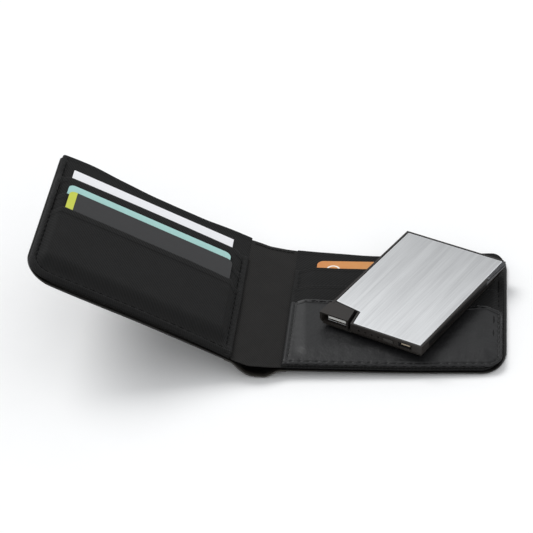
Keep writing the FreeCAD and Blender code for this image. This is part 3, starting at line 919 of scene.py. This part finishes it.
def card_pocket(side, number, place, material):
    """One cloth card pocket, seamed at its sides and raised over its cards."""
    outline = inner_outline(side)
    mouth_line = MOUTHS[side][number]
    near = moved(NEAR[side], 0.8)
    inside = Outline(outline.high - 0.9, near, mouth_line, outline.near_corner, low=0.9)
    top_v = mouth_line[3][1]
    columns = inside.columns(0.8, (0, 10, 0.4), (93, 103, 0.4))
    rows = spaced(0, top_v, 2.0, (0, 9, 0.8), (top_v - 18, top_v - 8, 1.0), (top_v - 8, top_v, 0.35))
    u, v = inside.grid(columns, rows)
    below = inside.far_line(u) - v
    top = pocket_top(side, number, u, v) + mouth_hem(side, below)
    seed = number + (10 if side == "left" else 20)
    slack = card_lift(side, u, v) * (1 - rise(below, 0, 14))
    top = top + slack * 0.14 * (1 + ripple(u, v, 26, seed)) + 0.05 * (1 + ripple(u, v, 9, seed + 5))
    if side == "right":
        ticks = 0.5 + 0.5 * np.cos(2 * math.pi * u / 1.9)
        top = top - 0.09 * hump(below, 1.3, 0.35) * ticks
    roll = 0.18 * rise(-below, -0.9, 0)
    if side == "left" and number < 2:
        top = np.minimum(top, STACK_TOPS[side][number] + 0.1)
    hem_line = 1.3 if side == "right" else 4.6
    # Painted shade: a dark line along the hem's stitching and along the mouth's edge, where the folds
    # would be in shadow.
    shade = (1 - 0.55 * hump(below, hem_line, 0.35)) * (1 - 0.45 * hump(below, 0, 0.4))
    name = f"{side}_card_pocket_{number + 1}"
    piece = layered(name + "_cloth", place, (u, v), top - roll, CLOTH, material, shade)
    finish_piece(piece, side + "_half", [name])
    flat, area = inside.flat_size()


def inner_panel(side, place, material):
    """The cloth panel that carries the pockets, with a turned hem along its far edge."""
    outline = inner_outline(side)
    near = moved(NEAR[side], 0.5)
    inside = Outline(outline.high - 0.3, near, FAR[side], outline.near_corner, outline.far_corner, 0.1)
    columns = inside.columns(1.0, (95, 103, 0.5))
    rows = spaced(0, 98.0, 3.0, (76, 92, 1.2), (92, 98, 0.35))
    u, v = inside.grid(columns, rows)
    from_far = inside.far(u) - v
    top = 0.1 - 0.12 * rise(from_far, 2.6, 3.2) - 0.07 * hump(from_far, 2.3, 0.3)
    top = top - 0.05 * (1 + ripple(u, v, 22, seed_of(side, 30))) * (1 - rise(from_far, 12, 16))
    thickness = 0.5 + np.minimum(top, 0)
    name = f"inner_panel_{side}"
    piece = layered(name + "_cloth", place, (u, v), top, thickness, material)
    finish_piece(piece, side + "_half", [name])
    flat, area = inside.flat_size()


def bill_lining(side, place, material):
    """The bill compartment's lining, a little smaller than the cover that it lies on."""
    outline = cover_outline(side)
    near, far = moved(COVER_NEAR[side], 1.6), moved(FAR[side], -0.5)
    inside = Outline(outline.high - 1.4, near, far, outline.near_corner, outline.far_corner)
    columns = inside.columns(2.5)
    rows = spaced(0, 98, 3.0, (92, 98, 0.8))
    u, v = inside.grid(columns, rows)
    top = BILL_TOP - 0.06 * (1 + ripple(u, v, 30, seed_of(side, 40)))
    name = f"bill_lining_{side}"
    piece = layered(name + "_cloth", place, (u, v), top, BILL_CLOTH - 0.12, material)
    finish_piece(piece, side + "_half", [name])
    flat, area = inside.flat_size()


def cover(side, place, material):
    """The leather cover: a turned edge all round, and the seam's row of dents outside."""
    outline = cover_outline(side)
    columns = outline.columns(1.0, (95, 103, 0.5))
    rows = spaced(0, 98, 2.4, (0, 6, 0.6), (92, 98, 0.6))
    u, v = outline.grid(columns, rows)
    path = Path(outline.border(), 0.5)
    distance, along = path.measure(u, v)
    seam_dent = pucker(distance, along, SEAM_INSET)
    from_far = outline.far(u) - v
    fold_over = hump(from_far, 6.0, 0.6) * 0.12
    edge = np.minimum(distance, from_far)
    thickness = COVER - 0.25 * (1 - rise(edge, 0, 1.2)) + seam_dent - fold_over
    thickness = thickness - 0.03 * (1 + ripple(u, v, 18, seed_of(side, 50)))
    # Painted shade: the cover is darkened to 0.45 on both faces away from its rim; only the rim keeps the
    # full colour.
    shade = 0.45 + 0.55 * (1 - rise(edge, 0.2, 0.9))
    name = f"outer_cover_{side}"
    piece = layered(name + "_leather", place, (u, v), COVER_TOP, thickness, material, shade)
    finish_piece(piece, side + "_half", [name])
    flat, area = outline.flat_size()


def rolled_edge(side, place, material):
    """The turned-in edge round the near side and the outer side, from seam to rim."""
    outline = inner_outline(side)
    path = Path(outline.border(), 0.45)
    v_at = path.points[:, 1]
    past_corner = path.points[:, 0] > outline.high - 3
    bare = np.where(past_corner, rise(v_at, 78, 88), 0)
    across = np.array([0.0, 0.25, 0.8, 1.5, 2.2, 2.7, 3.1, 3.5, 3.3, 2.0, 0.7, 0.1])
    if side == "left":
        full = np.array([-0.7, 0.5, 1.35, 1.75, 1.6, 1.25, 1.0, 0.6, -0.4, -1.3, -1.4, -1.2])
        low = np.array([-0.7, -0.1, 0.35, 0.6, 0.55, 0.35, 0.2, -0.1, -0.4, -1.3, -1.4, -1.2])
        shift = 0.0
    else:
        full = np.array([-0.9, -0.5, -0.3, -0.25, -0.25, -0.25, -0.2, -0.2, -0.5, -1.25, -1.3, -1.2])
        low = np.array([-0.7, -0.1, 0.3, 0.5, 0.45, 0.3, 0.2, 0.0, -0.4, -1.3, -1.4, -1.2])
        shift = 0.8
    share = bare[:, None]
    heights = full * (1 - share) + low * share
    insets, along = path.spread(across)
    insets = insets + shift * (1 - share)
    upper = heights > -0.2
    heights = heights + np.where(upper, pucker(insets, along, SEAM_INSET, 0.25), 0)
    lumps = ripple(along, insets * 3, 14, seed_of(side, 60))
    heights = heights + np.where(upper, 0.1 * lumps, 0)
    # Painted shade: dark along the seam and at 0.35 on the strip's underside; on the right half also dark
    # inward of its outer part, under the leather pocket's rim.
    shade = np.where(upper, seam_shade(insets, along, SEAM_INSET), 0.35)
    if side == "right":
        shade = shade * np.where(insets > 1.0 + shift * (1 - share), 0.3 + 0.7 * share, 1.0)
    name = f"rolled_edge_{side}"
    piece = strip(name, place, path, insets, heights, material, shade)
    replaced = [f"near_welt_{side}", f"outer_welt_{side}"]
    return finish_piece(piece, side + "_half", replaced)


def fold_path(side):
    """The line beside the fold, from the upper pocket's mouth to the near edge."""
    return Path([(0.3, MOUTHS[side][0][0][1] + 0.8), (0.3, 1.6)], 0.45)


def binding_stack(v):
    """How far the pockets' ends lift the fold binding, as a share of its full height."""
    return 0.75 + 0.25 * rise(-v, -60, -50)


def fold_binding(side, place, material):
    """The narrow rolled binding beside the fold, over the ends of the pockets."""
    path = fold_path(side)
    seam = FOLD_SEAM[side] - 0.3
    across = np.array([0.0, 0.15, 0.6, 1.2, 1.8, seam - 0.35, seam, seam + 0.45, seam + 0.3, 1.5, 0.3])
    crown = 1.5 if side == "left" else 1.15
    shape = np.array([0.45, 0.8, 0.95, 1.0, 0.95, 0.85, 0.75, 0.55, 0.2, 0.05, 0.1])
    heights = shape[None] * crown * binding_stack(path.points[:, 1])[:, None]
    insets, along = path.spread(across)
    upper = insets < seam + 0.4
    heights = heights + np.where(upper & (heights > 0.4), pucker(insets, along, seam, 0.22), 0)
    insets = insets + 0.12 * ripple(along, 0 * along, 15, seed_of(side, 70))
    insets = np.maximum(insets, 0)
    # Painted shade: dark along the seam and at 0.6 on the binding's lower side.
    shade = np.where(upper, seam_shade(insets, along, seam), 0.6)
    name = f"fold_binding_{side}"
    piece = strip(name, place, path, insets, heights, material, shade)
    return finish_piece(piece, side + "_half", [f"fold_welt_{side}"])


def leather_shape(u, v):
    """Top of the leather pocket: rolled edges, sunk seams, and the print of a card inside."""
    path = Path(leather_outline().border(), 0.5)
    distance, along = path.measure(u, v)
    profile = smooth_line([(0, 0.9), (0.4, 1.5), (0.8, 1.6), (1.7, 1.25), (2.9, 1.5), (5, 1.65)])
    fold_profile = smooth_line([(0, 0.95), (0.5, 1.4), (1.1, 1.6), (2.4, 1.3), (3.6, 1.5), (7, 1.65)])
    from_fold = u - 0.4
    edges = np.minimum(profile(distance), fold_profile(from_fold))
    tilt = 0.06 * (v - 11.6)
    print_left = 9.3 - tilt * 1.2
    print_rise = rise(u, print_left - 5.0, print_left + 1.8) * rise(v, 4.5, 16.0) * rise(-u, -98.5, -92.5)
    top = edges + (LEATHER_TOP - 1.65) * print_rise
    mouth = smooth_line(LEATHER_MOUTH)(u)
    near_mouth = 1 - rise(mouth - v, 0, 18)
    creases = ripple(u, v * 0.35, 9, 81) * (rise(u, 84, 93) + 0.25) + 0.3 * ripple(u, v, 30, 82)
    top = top + 0.16 * creases * print_rise + 0.1 * near_mouth * print_rise
    top = top + pucker(distance, along, LEATHER_SEAM, 0.3)
    return top + np.where(v > 6, pucker(from_fold, v, FOLD_SEAM["right"] - 0.4, 0.3), 0)


def leather_shade(u, v):
    """Painted shade along the leather's seams: how dark the leather is made there."""
    distance, along = Path(leather_outline().border(), 0.5).measure(u, v)
    outer = seam_shade(distance, along, LEATHER_SEAM)
    return outer * np.where(v > 6, seam_shade(u, v, FOLD_SEAM["right"]), 1)


def leather_pocket(place, material):
    """The leather pocket's front."""
    outline = leather_outline()
    columns = outline.columns(0.45, (0, 5, 0.3), (97, 101, 0.3))
    rows = spaced(0, 50, 1.0, (0, 8, 0.3), (47, 50, 0.4))
    u, v = outline.grid(columns, rows)
    top = leather_shape(u, v)
    distance, _ = Path(outline.border(), 0.5).measure(u, v)
    thin = 0.35 + 0.55 * rise(np.minimum(distance, u), 3.0, 8.0)
    shade = leather_shade(u, v)
    piece = layered("leather_pocket_front", place, (u, v), top, thin, material, shade)
    return finish_piece(piece, "right_half", ["leather_pocket"])


def leather_hem(place, material):
    """The hem turned over at the leather pocket's mouth."""
    width = 2.7
    outline = Outline(99.6, moved(LEATHER_MOUTH, -width), LEATHER_MOUTH, (0.8, 0.8), low=3.9)
    columns = outline.columns(0.45)
    rows = spaced(0, width, 0.22)
    u, v = outline.grid(columns, rows)
    below = outline.far_line(u) - v
    lip = 0.42 * np.sqrt(np.clip(1 - ((below - width / 2) / (width / 2)) ** 4, 0, 1))
    dents = pucker(below, u, HEM_THREAD_INSET, 0.2)
    top = leather_shape(u, v) + lip + dents + 0.02
    thickness = lip + 0.25
    # Painted shade: a dark line along the hem's stitching.
    shade = seam_shade(below, u, 2.0, 0.9)
    piece = layered("leather_pocket_turned_hem", place, (u, v), top, thickness, material, shade)
    return finish_piece(piece, "right_half", ["leather_pocket_hem"])


def hem_surface(u, v):
    """Top of the turned hem, where its thread lies."""
    return leather_shape(u, v) + 0.42


def right_stitching(place, material):
    """Thread round the leather pocket, on round the cloth edge, and beside the fold."""
    leather_path = Path(leather_outline().border(), 0.5)
    seams = [(holes_along(leather_path, LEATHER_SEAM, 4.0, leather_path.length - 2), leather_shape)]
    path = Path(inner_outline("right").border(), 0.5)
    cloth_start = STITCH_PITCH * math.ceil((leather_path.length + 3) / STITCH_PITCH)
    seams.append((holes_along(path, SEAM_INSET, cloth_start, path.length - 12), level_surface(0.75)))
    fold_u = FOLD_SEAM["right"]
    fold_holes = np.array([(fold_u, STITCH_PITCH * index) for index in range(2, 13)], float)
    seams.append((fold_holes, leather_shape))
    piece = stitching("edge_stitching_right_thread", place, seams, material)
    return finish_piece(piece, "right_half", ["edge_stitching_right"])


def left_binding_surface(u, v):
    """Where the fold thread lies on the left half's binding."""
    return 1.5 * binding_stack(v) * 0.75


def left_stitching(place, material):
    """Thread round the left half's edge, lower past the pockets, and beside the fold."""
    path = Path(inner_outline("left").border(), 0.45)
    seams = [(holes_along(path, SEAM_INSET, 4.0, path.length - 22), level_surface(1.2))]
    start = STITCH_PITCH * math.ceil((path.length - 20) / STITCH_PITCH)
    seams.append((holes_along(path, SEAM_INSET, start, path.length - 5), level_surface(0.45)))
    fold = fold_path("left")
    fold_holes = holes_along(fold, FOLD_SEAM["left"] - 0.3, 4.0, fold.length - 4)
    seams.append((fold_holes, left_binding_surface))
    piece = stitching("edge_stitching_left_thread", place, seams, material)
    return finish_piece(piece, "left_half", ["edge_stitching_left"])


def hem_thread(place, material):
    """Thread along the leather pocket's hem."""
    at = np.arange(6.0, 98.0, STITCH_PITCH)
    holes = np.stack([at, smooth_line(LEATHER_MOUTH)(at) - HEM_THREAD_INSET], axis=1)
    piece = stitching("hem_stitching_thread", place, [(holes, hem_surface)], material)
    return finish_piece(piece, "right_half", ["hem_stitching"])


# Spine


def spine_lining(place, material):
    """The cloth over the spine, slightly wavy, with a hem along its far edge."""
    outline = Outline(SPINE_WIDTH, SPINE_NEAR, SPINE_FAR, (0.5, 0.5), (0.5, 0.5), low=0.0)
    columns = outline.columns(0.5)
    rows = spaced(0, 98, 1.2, (0, 10, 0.5), (92, 98, 0.35))
    u, v = outline.grid(columns, rows)
    from_far = outline.far(u) - v
    middle = hump(u, SPINE_MIDDLE, 8)
    hem = 0.1 * (1 - rise(from_far, 2.7, 3.2)) - 0.08 * hump(from_far, 2.4, 0.3)
    waves = ripple(u, v, 34, 91) * 0.5 + ripple(u * 1.6, v * 0.5, 8, 92) * (1 - rise(v, 3, 22)) * 0.7
    top = -0.15 + hem + middle * waves * 0.45
    piece = layered("spine_lining_cloth", place, (u, v), top, 0.35, material)
    finish_piece(piece, "spine", ["spine_lining"])
    flat, area = outline.flat_size()


def spine_thread(place, material):
    """Thread along the spine's far hem."""
    at = np.arange(1.6, 22.5, STITCH_PITCH / 2)
    holes = np.stack([at, smooth_line(SPINE_FAR)(at) - 2.4], axis=1)
    piece = stitching("spine_stitching_thread", place, [(holes, level_surface(-0.02))], material)
    return finish_piece(piece, "spine", ["spine_stitching"])


def gusset_line(places):
    """The loop's middle line in the spine's u and w, from cover to cover, and its arc length."""
    spine = places["spine"]
    middle = COVER_TOP - COVER / 2
    starts = [spine.local(places["right"].world([[u, 0, middle]]))[0] for u in (2.2, 1.0)]
    ends = [spine.local(places["left"].world([[u, 0, middle]]))[0] for u in (1.0, 2.2)]
    points = [(p[0], p[2]) for p in starts] + GUSSET_LOOP + [(p[0], p[2]) for p in ends]
    points = np.array(points, float)
    share = np.arange(len(points), dtype=float)
    fine = np.linspace(0, len(points) - 1, 97)
    across = smooth_line(np.stack([share, points[:, 0]], axis=1))(fine)
    down = smooth_line(np.stack([share, points[:, 1]], axis=1))(fine)
    steps = np.hypot(np.diff(across), np.diff(down))
    return across, down, np.concatenate([[0], np.cumsum(steps)])


def gusset_layers(across, down, reach):
    """The loop's inner and outer faces as grids of points, and its flat layout."""
    slope = np.stack([np.gradient(across), np.gradient(down)], axis=1)
    slope /= np.linalg.norm(slope, axis=1)[:, None]
    normal = np.stack([-slope[:, 1], slope[:, 0]], axis=1)
    rows = spaced(0, 97.5, 2.0, (0, 12, 0.5), (92, 97.5, 0.6))
    near = 0.5 + 0.8 * rise(np.abs(across - SPINE_MIDDLE), 6, 12)
    far = smooth_line(SPINE_FAR)(across) - 0.4
    v = near[:, None] + (far - near)[:, None] * (rows / rows[-1])
    u = across[:, None] + 0 * v
    w = down[:, None] + 0 * v
    crumple = ripple(reach[:, None] * 1.3, v * 0.45, 7, 101) * (1 - rise(v, 6, 40)) * 0.35
    swell = rise(-w, 3.2, 6.5) * (0.35 * ripple(reach[:, None], v * 0.4, 22, 102) + crumple)
    half = COVER / 2 - 0.08
    faces = []
    for offset in (half, -half):
        lift = offset + swell
        faces.append(np.stack([u + normal[:, :1] * lift, v, w + normal[:, 1:] * lift], axis=2))
    return faces, np.stack([reach[:, None] + 0 * v, v], axis=2)


def gusset(places, material):
    """The leather loop under the spine, in two pieces that meet at its middle."""
    place = places["spine"]
    across, down, reach = gusset_line(places)
    faces, layout = gusset_layers(across, down, reach)
    v = layout[:, :, 1]
    middle_at = np.abs(across - SPINE_MIDDLE).argmin()
    right_span = slice(0, middle_at + 1)
    left_span = slice(len(across) - 1, middle_at - 1, -1)
    left_bend = SPINE_WIDTH - BEND_REACH
    for side, span, bodies, bend in (
        ("right", right_span, ("right_half", "spine"), (0.0, BEND_REACH)),
        ("left", left_span, ("spine", "left_half"), (left_bend, SPINE_WIDTH)),
    ):
        layers = [face[span] for face in faces]
        # Painted shade: the loop's inner face darkens from its rim inwards, where shadow would fall inside
        # the loop; the outer face keeps its colour.
        shades = [1 - 0.9 * rise(v[span], 0.9, 3.2), np.ones(v[span].shape)]
        if side == "left":
            layers = layers[::-1]
            shades = shades[::-1]
        name = f"outer_cover_spine_{side}"
        piece = closed_sheet(name, place, *layers, layout[span], material, shades, cut_end=True)
        start, end = place.world([[u, 50, 0] for u in bend])
        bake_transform(piece)
        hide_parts("outer_cover_spine")


# Hard pieces: the CAD nodes, with softened edges


def dress(name, material, bevel, edge_material=None):
    """Gives a CAD node its material and, where bevel says so, softened edges."""
    piece = nodes[name]
    piece.data.materials.clear()
    piece.data.materials.append(material)
    if bevel:
        weld = piece.modifiers.new("weld", "WELD")
        weld.merge_threshold = 0.002 * MM
        flat = piece.modifiers.new("flat_faces", "DECIMATE")
        flat.decimate_type = "DISSOLVE"
        flat.angle_limit = math.radians(0.5)
        soft = piece.modifiers.new("soft_edges", "BEVEL")
        soft.width = bevel * MM
        soft.segments = 3
        soft.limit_method = "ANGLE"
        soft.angle_limit = math.radians(40)
        soft.use_clamp_overlap = True
        if edge_material:
            piece.data.materials.append(edge_material)
            soft.material = 1
    return piece


def hard_pieces(materials):
    """Each CAD node that shows as it is: its material and its bevel in millimetres."""
    finishes = {
        "white_card": ("white_paper", 0.05),
        "teal_card": ("teal_print", 0.12),
        "dark_card": ("grey_print", 0.12),
        "dark_card_band": ("lime_print", 0.0),
        "orange_card": ("orange_print", 0.12),
        "bank_tray": ("bank_plastic", 0.12),
        "bank_bezel": ("bank_plastic", 0.12),
        "battery_cell": ("cell_foil", 0.4),
        "battery_tape": ("tape", 0.05),
        "circuit_board": ("board_green", 0.08),
        "board_posts": ("bank_plastic", 0.0),
        "board_chips": ("chip_black", 0.08),
        "charging_socket": ("chip_black", 0.0),
        "charging_socket_tongue": ("port_tongue", 0.05),
        "led_light_pipes": ("light_pipe", 0.05),
        "charge_leds": ("white_plastic", 0.05),
        "tactile_switch": ("bright_steel", 0.08),
        "power_button": ("button_plastic_painted_lighter", 0.2),
        "supply_plug_hood": ("bank_plastic", 0.0),
        "supply_plug_shell": ("bright_steel", 0.1),
        "supply_plug_tongue": ("white_plastic", 0.05),
        "supply_plug_contacts": ("gold_contacts", 0.0),
        "supply_plug_strap": ("cable_plastic", 0.2),
        "charging_lead_ribbon": ("cable_plastic", 0.25),
        "charging_plug_grip": ("grip_plastic", 0.0),
        "charging_plug_shell": ("bright_steel", 0.1),
        "charging_plug_tongue": ("chip_black", 0.04),
    }
    for name, (material, bevel) in finishes.items():
        dress(name, materials[material], bevel)
    dress("bank_top_plate", materials["brushed_plate"], 0.3, materials["plate_edge"])


def wallet_half(side, place, materials):
    """A half's layers, from the cover up to the card pockets."""
    cover(side, place, materials["cover_leather"])
    bill_lining(side, place, materials["bill_cloth"])
    trims = [rolled_edge(side, place, materials["welt_cloth"])]
    trims.append(fold_binding(side, place, materials["welt_cloth"]))
    if side == "left":
        trims.append(left_stitching(place, materials["thread"]))
    inner_panel(side, place, materials["pocket_cloth"])
    for number in range(len(MOUTHS[side])):
        card_pocket(side, number, place, materials["pocket_cloth"])


def leather_front(place, materials):
    """The leather pocket with its hem and threads."""
    trims = [leather_hem(place, materials["pocket_leather"])]
    trims.append(hem_thread(place, materials["thread"]))
    trims.append(right_stitching(place, materials["thread"]))
    piece = leather_pocket(place, materials["pocket_leather"])
    flat, area = leather_outline().flat_size()


make_camera()
make_lights()
make_floor()
places = make_places()
materials = make_materials(places)
hard_pieces(materials)
wallet_half("right", places["right"], materials)
wallet_half("left", places["left"], materials)
leather_front(places["right"], materials)
spine_trims = [spine_thread(places["spine"], materials["thread"])]
spine_lining(places["spine"], materials["spine_cloth"])
gusset(places, materials["gusset_leather_painted_lighter"])
